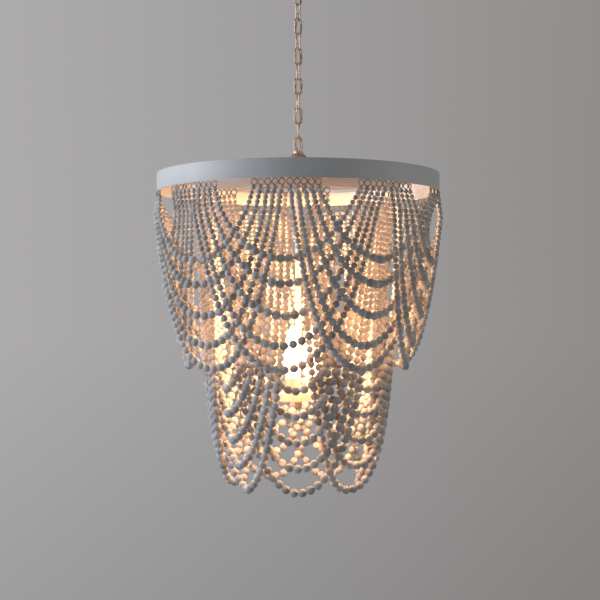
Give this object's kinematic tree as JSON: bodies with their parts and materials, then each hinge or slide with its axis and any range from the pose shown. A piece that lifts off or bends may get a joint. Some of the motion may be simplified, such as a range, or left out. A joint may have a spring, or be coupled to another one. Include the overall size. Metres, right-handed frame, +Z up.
{
  "type": "beaded chandelier",
  "caption": "Tiered chandelier: swags of washed wooden beads hang from a painted metal band and an inner hoop round a lamp cluster, on a link chain and ceiling canopy.",
  "frame": {"origin": "middle of the mounting bar's upper face, on the ceiling over the chain", "axes": "+Z up from the ceiling mount, -Y is the pictured front, +X to the right seen from the front"},
  "size_m": [0.5056, 0.5068, 0.9717],
  "materials": {
    "painted_iron": "matte blue-grey paint",
    "satin_nickel": "satin nickel plate",
    "washed_wood": "grey-washed, matte",
    "white_enamel": "satin white enamel",
    "phenolic": "moulded, matte",
    "lamp_glass": "clear",
    "brass_cap": "bright",
    "cord_jacket": "satin"
  },
  "bodies": {
    "ceiling": {"canopy_bracket": "satin_nickel", "canopy_nipple": "satin_nickel", "canopy": "satin_nickel", "canopy_collar": "satin_nickel", "canopy_loop": "satin_nickel", "supply_cord": "cord_jacket", "earth_wire": "cord_jacket"},
    "link_01": {"chain_link_01": "satin_nickel"},
    "link_02": {"chain_link_02": "satin_nickel"},
    "link_03": {"chain_link_03": "satin_nickel"},
    "link_04": {"chain_link_04": "satin_nickel"},
    "link_05": {"chain_link_05": "satin_nickel"},
    "link_06": {"chain_link_06": "satin_nickel"},
    "link_07": {"chain_link_07": "satin_nickel"},
    "link_08": {"chain_link_08": "satin_nickel"},
    "link_09": {"chain_link_09": "satin_nickel"},
    "link_10": {"chain_link_10": "satin_nickel"},
    "link_11": {"chain_link_11": "satin_nickel"},
    "fixture": {"fixture_loop": "satin_nickel", "dome": "satin_nickel", "hub": "painted_iron", "spider": "painted_iron", "lock_nut": "satin_nickel", "outer_band": "painted_iron", "inner_hoop": "painted_iron", "stem": "painted_iron", "cluster_body": "white_enamel", "cluster_cover": "white_enamel", "finial": "satin_nickel", "candle_sleeve_1": "white_enamel", "lamp_socket_1": "phenolic", "bulb_cap_1": "brass_cap", "bulb_glass_1": "lamp_glass", "candle_sleeve_2": "white_enamel", "lamp_socket_2": "phenolic", "bulb_cap_2": "brass_cap", "bulb_glass_2": "lamp_glass", "candle_sleeve_3": "white_enamel", "lamp_socket_3": "phenolic", "bulb_cap_3": "brass_cap", "bulb_glass_3": "lamp_glass", "outer_swag_1": "washed_wood", "outer_swag_2": "washed_wood", "outer_swag_3": "washed_wood", "outer_swag_4": "washed_wood", "outer_swag_5": "washed_wood", "outer_swag_6": "washed_wood", "outer_swag_7": "washed_wood", "outer_swag_8": "washed_wood", "outer_swag_9": "washed_wood", "lower_swag_1": "washed_wood", "lower_swag_2": "washed_wood", "lower_swag_3": "washed_wood", "lower_swag_4": "washed_wood", "lower_swag_5": "washed_wood", "lower_swag_6": "washed_wood", "lower_swag_7": "washed_wood"}
  },
  "joints": [
    {"name": "chain_swing_01", "type": "hinge", "parent": "ceiling", "child": "link_01", "pos_m": [0, 0, -0.0601], "axis": [0.6691, 0.7431, 0], "range_deg": [-8, 8]},
    {"name": "chain_swing_02", "type": "hinge", "parent": "link_01", "child": "link_02", "pos_m": [0, 0, -0.0864], "axis": [0.6947, -0.7193, 0], "range_deg": [-8, 8]},
    {"name": "chain_swing_03", "type": "hinge", "parent": "link_02", "child": "link_03", "pos_m": [0, 0, -0.1129], "axis": [-0.766, -0.6428, 0], "range_deg": [-8, 8]},
    {"name": "chain_swing_04", "type": "hinge", "parent": "link_03", "child": "link_04", "pos_m": [0, 0, -0.1394], "axis": [-0.5878, 0.809, 0], "range_deg": [-8, 8]},
    {"name": "chain_swing_05", "type": "hinge", "parent": "link_04", "child": "link_05", "pos_m": [0, 0, -0.1659], "axis": [0.848, 0.5299, 0], "range_deg": [-8, 8]},
    {"name": "chain_swing_06", "type": "hinge", "parent": "link_05", "child": "link_06", "pos_m": [0, 0, -0.1924], "axis": [0.4695, -0.8829, 0], "range_deg": [-8, 8]},
    {"name": "chain_swing_07", "type": "hinge", "parent": "link_06", "child": "link_07", "pos_m": [0, 0, -0.2189], "axis": [-0.9135, -0.4067, 0], "range_deg": [-8, 8], "deforming": ["supply_cord", "earth_wire"]},
    {"name": "chain_swing_08", "type": "hinge", "parent": "link_07", "child": "link_08", "pos_m": [0, 0, -0.2454], "axis": [-0.342, 0.9397, 0], "range_deg": [-8, 8]},
    {"name": "chain_swing_09", "type": "hinge", "parent": "link_08", "child": "link_09", "pos_m": [0, 0, -0.2719], "axis": [0.9613, 0.2756, 0], "range_deg": [-8, 8]},
    {"name": "chain_swing_10", "type": "hinge", "parent": "link_09", "child": "link_10", "pos_m": [0, 0, -0.2984], "axis": [0.2079, -0.9781, 0], "range_deg": [-8, 8]},
    {"name": "chain_swing_11", "type": "hinge", "parent": "link_10", "child": "link_11", "pos_m": [0, 0, -0.3249], "axis": [-0.9903, -0.1392, 0], "range_deg": [-8, 8]},
    {"name": "fixture_swing", "type": "hinge", "parent": "link_11", "child": "fixture", "pos_m": [0, 0, -0.3514], "axis": [-0.0698, 0.9976, 0], "range_deg": [-8, 8]}
  ]
}
